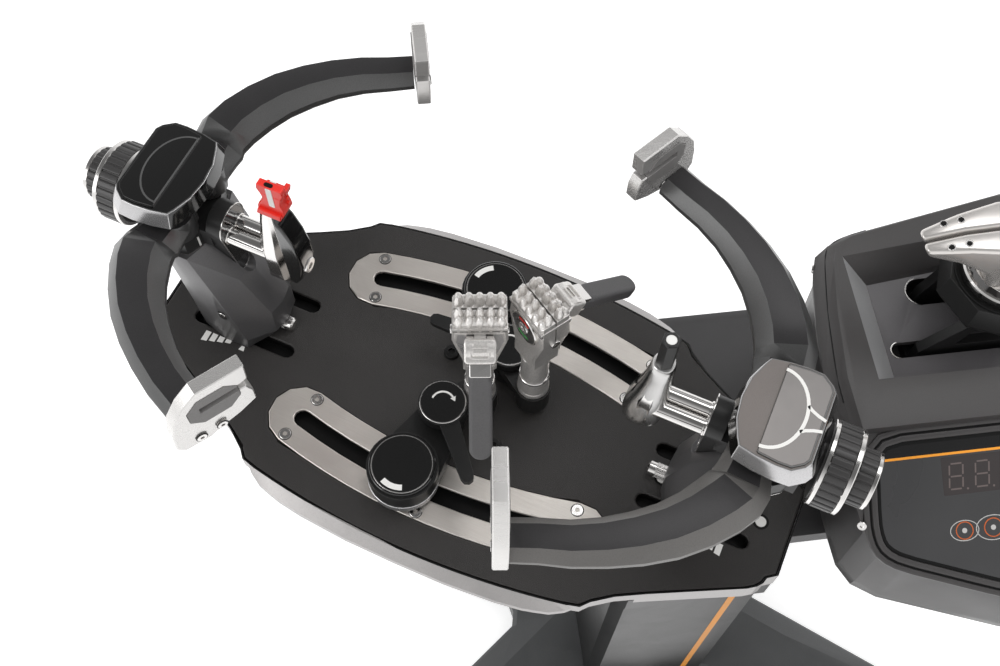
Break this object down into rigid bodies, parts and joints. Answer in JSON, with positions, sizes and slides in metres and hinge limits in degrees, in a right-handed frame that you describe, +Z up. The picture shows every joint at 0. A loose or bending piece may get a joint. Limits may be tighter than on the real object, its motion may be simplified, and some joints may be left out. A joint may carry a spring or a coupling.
{
  "type": "racket stringing machine",
  "caption": "Electronic racket stringing machine: turntable with towers, C-support arms and glide-rail clamps, a tension head beside it and a column stand.",
  "frame": {"origin": "on the floor, under the middle of the whole machine seen from above", "axes": "+Z up, +X from the turntable towards the tension head, +Y away from the person who strings"},
  "size_m": [0.9234, 0.6434, 1.1235],
  "materials": {
    "deck_black": "fine-textured black powder coat",
    "casting_grey": "silver-grey satin casting",
    "rail_steel": "brushed along its length",
    "tower_grey": "graphite satin coat",
    "collar_black": "satin black",
    "cap_silver": "silver-grey satin with a gloss black panel",
    "knob_black": "satin black with bright rings",
    "arm_dark": "dark graphite satin coat",
    "support_aluminium": "satin with bright chamfers",
    "pad_grey": "matte grey urethane",
    "support_chrome": "polished",
    "adapter_red": "moulded red",
    "clamp_silver": "satin silver casting",
    "clamp_black": "satin black",
    "grip_grey": "soft grey grip",
    "console_grey": "fine-textured dark grey",
    "panel_glass": "gloss black",
    "neck_black": "fine-textured near black",
    "column_grey": "dark metallic coat",
    "base_grey": "fine-textured dark grey",
    "foot_rubber": "black rubber"
  },
  "bodies": {
    "stand": {"base_casting": "base_grey", "foot_1": "foot_rubber", "foot_2": "foot_rubber", "foot_3": "foot_rubber", "foot_4": "foot_rubber", "outer_column": "column_grey"},
    "lock_lever": {"height_lock_lever": "clamp_black"},
    "mast": {"inner_mast": "column_grey", "neck_beam": "neck_black", "console_body": "console_grey", "console_panel": "panel_glass"},
    "rocker": {"power_switch": "clamp_black"},
    "carriage": {"carriage_frame": "clamp_black", "gripper_housing": "clamp_black"},
    "jaw_front": {"gripper_jaw_front": "support_chrome"},
    "jaw_rear": {"gripper_jaw_rear": "support_chrome"},
    "turntable": {"turntable_casting": "casting_grey", "turntable_deck": "deck_black", "clamp_rail_front": "rail_steel", "clamp_rail_rear": "rail_steel"},
    "tower_left": {"tower_body_left": "tower_grey", "tower_hub_left": "collar_black", "tower_cap_left": "cap_silver"},
    "tower_right": {"tower_body_right": "tower_grey", "tower_hub_right": "collar_black", "tower_cap_right": "cap_silver"},
    "arm_lf": {"arm_left_front": "arm_dark", "frame_support_left_front": "support_aluminium", "frame_pad_left_front": "pad_grey"},
    "arm_lr": {"arm_left_rear": "arm_dark", "frame_support_left_rear": "support_aluminium", "frame_pad_left_rear": "pad_grey"},
    "arm_rf": {"arm_right_front": "arm_dark", "frame_support_right_front": "support_aluminium", "frame_pad_right_front": "pad_grey"},
    "arm_rr": {"arm_right_rear": "arm_dark", "frame_support_right_rear": "support_aluminium", "frame_pad_right_rear": "pad_grey"},
    "knob_left": {"arm_knob_left": "knob_black"},
    "knob_right": {"arm_knob_right": "knob_black"},
    "inner_left": {"inner_support_left": "support_chrome", "throat_adapter": "adapter_red"},
    "inner_right": {"inner_support_right": "support_chrome", "head_peg": "clamp_black"},
    "small_knob_left": {"support_knob_left": "knob_black"},
    "small_knob_right": {"support_knob_right": "knob_black"},
    "shoe_front": {"clamp_shoe_front": "rail_steel"},
    "shoe_rear": {"clamp_shoe_rear": "rail_steel"},
    "swivel_front": {"clamp_base_front": "clamp_black"},
    "swivel_rear": {"clamp_base_rear": "clamp_black"},
    "link_front": {"clamp_link_front": "clamp_black"},
    "link_rear": {"clamp_link_rear": "clamp_black"},
    "lever_front": {"clamp_lever_front": "clamp_black"},
    "lever_rear": {"clamp_lever_rear": "clamp_black"},
    "clamp_front": {"clamp_post_front": "clamp_silver", "clamp_head_front": "clamp_silver"},
    "clamp_rear": {"clamp_post_rear": "clamp_silver", "clamp_head_rear": "clamp_silver"},
    "handle_front": {"clamp_handle_front": "grip_grey"},
    "handle_rear": {"clamp_handle_rear": "grip_grey"}
  },
  "joints": [
    {"name": "lock_lever_turn", "type": "hinge", "parent": "stand", "child": "lock_lever", "pos_m": [0.0387, 0.05, 0.5], "axis": [0, 1, 0], "range_deg": [-60, 25]},
    {"name": "height_slide", "type": "slide", "parent": "stand", "child": "mast", "axis": [0, 0, 1], "range_m": [0, 0.15]},
    {"name": "power_rocker", "type": "hinge", "parent": "mast", "child": "rocker", "pos_m": [0.3667, 0.063, 0.91], "axis": [1, 0, 0], "range_deg": [0, 4]},
    {"name": "tension_slide", "type": "slide", "parent": "mast", "child": "carriage", "axis": [1, 0, 0], "range_m": [0, 0.14]},
    {"name": "jaw_front_slide", "type": "slide", "parent": "carriage", "child": "jaw_front", "axis": [0, -1, 0], "range_m": [0, 0.004]},
    {"name": "jaw_rear_slide", "type": "slide", "parent": "carriage", "child": "jaw_rear", "axis": [0, 1, 0], "range_m": [0, 0.004]},
    {"name": "turntable_spin", "type": "hinge", "parent": "mast", "child": "turntable", "pos_m": [-0.1933, -0.04, 0.88], "axis": [0, 0, 1], "continuous": true},
    {"name": "tower_left_slide", "type": "slide", "parent": "turntable", "child": "tower_left", "axis": [0.8572, -0.515, 0], "range_m": [-0.012, 0.012]},
    {"name": "tower_right_slide", "type": "slide", "parent": "turntable", "child": "tower_right", "axis": [-0.8572, 0.515, 0], "range_m": [-0.012, 0.012]},
    {"name": "arm_lr_swing", "type": "hinge", "parent": "tower_left", "child": "arm_lr", "pos_m": [-0.37055, 0.091, 1.048], "axis": [0, 0, 1], "range_deg": [-8, 3]},
    {"name": "arm_lf_swing", "type": "hinge", "parent": "tower_left", "child": "arm_lf", "pos_m": [-0.39218, 0.055, 1.048], "axis": [0, 0, 1], "range_deg": [-3, 8]},
    {"name": "arm_rf_swing", "type": "hinge", "parent": "tower_right", "child": "arm_rf", "pos_m": [-0.02771, -0.164, 1.048], "axis": [0, 0, 1], "range_deg": [-6, 6]},
    {"name": "arm_rr_swing", "type": "hinge", "parent": "tower_right", "child": "arm_rr", "pos_m": [-0.00608, -0.12799, 1.048], "axis": [0, 0, 1], "range_deg": [-6, 6]},
    {"name": "knob_left_turn", "type": "hinge", "parent": "tower_left", "child": "knob_left", "pos_m": [-0.38308, 0.07403, 1.033], "axis": [0.8572, -0.515, 0], "range_deg": [-100, 40]},
    {"name": "knob_right_turn", "type": "hinge", "parent": "tower_right", "child": "knob_right", "pos_m": [-0.01518, -0.14702, 1.033], "axis": [-0.8572, 0.515, 0], "range_deg": [-75, 75]},
    {"name": "inner_left_slide", "type": "slide", "parent": "tower_left", "child": "inner_left", "axis": [0.8572, -0.515, 0], "range_m": [-0.014, 0.03]},
    {"name": "inner_right_slide", "type": "slide", "parent": "tower_right", "child": "inner_right", "axis": [-0.8572, 0.515, 0], "range_m": [-0.014, 0.02]},
    {"name": "small_knob_left_turn", "type": "hinge", "parent": "tower_left", "child": "small_knob_left", "pos_m": [-0.38308, 0.07403, 1.033], "axis": [0.8572, -0.515, 0], "range_deg": [-250, 540]},
    {"name": "small_knob_right_turn", "type": "hinge", "parent": "tower_right", "child": "small_knob_right", "pos_m": [-0.01518, -0.14702, 1.033], "axis": [-0.8572, 0.515, 0], "range_deg": [-250, 540]},
    {"name": "shoe_front_glide", "type": "hinge", "parent": "turntable", "child": "shoe_front", "pos_m": [0.01323, 0.30372, 0.9], "axis": [0, 0, 1], "range_deg": [-9, 0.3]},
    {"name": "shoe_rear_glide", "type": "hinge", "parent": "turntable", "child": "shoe_rear", "pos_m": [-0.39983, -0.38372, 0.9], "axis": [0, 0, 1], "range_deg": [-5, 0.3]},
    {"name": "swivel_front_turn", "type": "hinge", "parent": "shoe_front", "child": "swivel_front", "pos_m": [-0.25215, -0.10104, 0.91], "axis": [0, 0, 1], "range_deg": [-12, 10]},
    {"name": "swivel_rear_turn", "type": "hinge", "parent": "shoe_rear", "child": "swivel_rear", "pos_m": [-0.16528, 0.03964, 0.91], "axis": [0, 0, 1], "range_deg": [-1.5, 8]},
    {"name": "link_front_turn", "type": "hinge", "parent": "swivel_front", "child": "link_front", "pos_m": [-0.21724, -0.0577, 0.925], "axis": [0, 0, 1], "range_deg": [-6, 8]},
    {"name": "link_rear_turn", "type": "hinge", "parent": "swivel_rear", "child": "link_rear", "pos_m": [-0.16113, -0.01558, 0.925], "axis": [0, 0, 1], "range_deg": [-5, 8]},
    {"name": "lever_front_turn", "type": "hinge", "parent": "swivel_front", "child": "lever_front", "pos_m": [-0.21724, -0.0577, 0.935], "axis": [0, 0, 1], "range_deg": [-35, 15]},
    {"name": "lever_rear_turn", "type": "hinge", "parent": "swivel_rear", "child": "lever_rear", "pos_m": [-0.16113, -0.01558, 0.935], "axis": [0, 0, 1], "range_deg": [-30, 10]},
    {"name": "clamp_front_turn", "type": "hinge", "parent": "link_front", "child": "clamp_front", "pos_m": [-0.18801, -0.04691, 0.92], "axis": [0, 0, 1], "range_deg": [-12, 12]},
    {"name": "clamp_rear_turn", "type": "hinge", "parent": "link_rear", "child": "clamp_rear", "pos_m": [-0.14683, -0.04751, 0.92], "axis": [0, 0, 1], "range_deg": [-10, 12]},
    {"name": "handle_front_lift", "type": "hinge", "parent": "clamp_front", "child": "handle_front", "pos_m": [-0.19023, -0.0681, 1.043], "axis": [0.9945, -0.1045, 0], "range_deg": [-30, 25]},
    {"name": "handle_rear_lift", "type": "hinge", "parent": "clamp_rear", "child": "handle_rear", "pos_m": [-0.12803, -0.03751, 1.043], "axis": [-0.4695, 0.8829, 0], "range_deg": [-30, 25]}
  ],
  "couplings": [
    {"joint": "jaw_rear_slide", "follows": "jaw_front_slide", "ratio": 1},
    {"joint": "arm_lf_swing", "follows": "arm_lr_swing", "ratio": -1},
    {"joint": "knob_left_turn", "follows": "arm_lr_swing", "ratio": 12},
    {"joint": "arm_rr_swing", "follows": "arm_rf_swing", "ratio": -1},
    {"joint": "knob_right_turn", "follows": "arm_rf_swing", "ratio": 12},
    {"joint": "small_knob_left_turn", "follows": "inner_left_slide", "rad_per_m": 261.8},
    {"joint": "small_knob_right_turn", "follows": "inner_right_slide", "rad_per_m": 261.8}
  ]
}
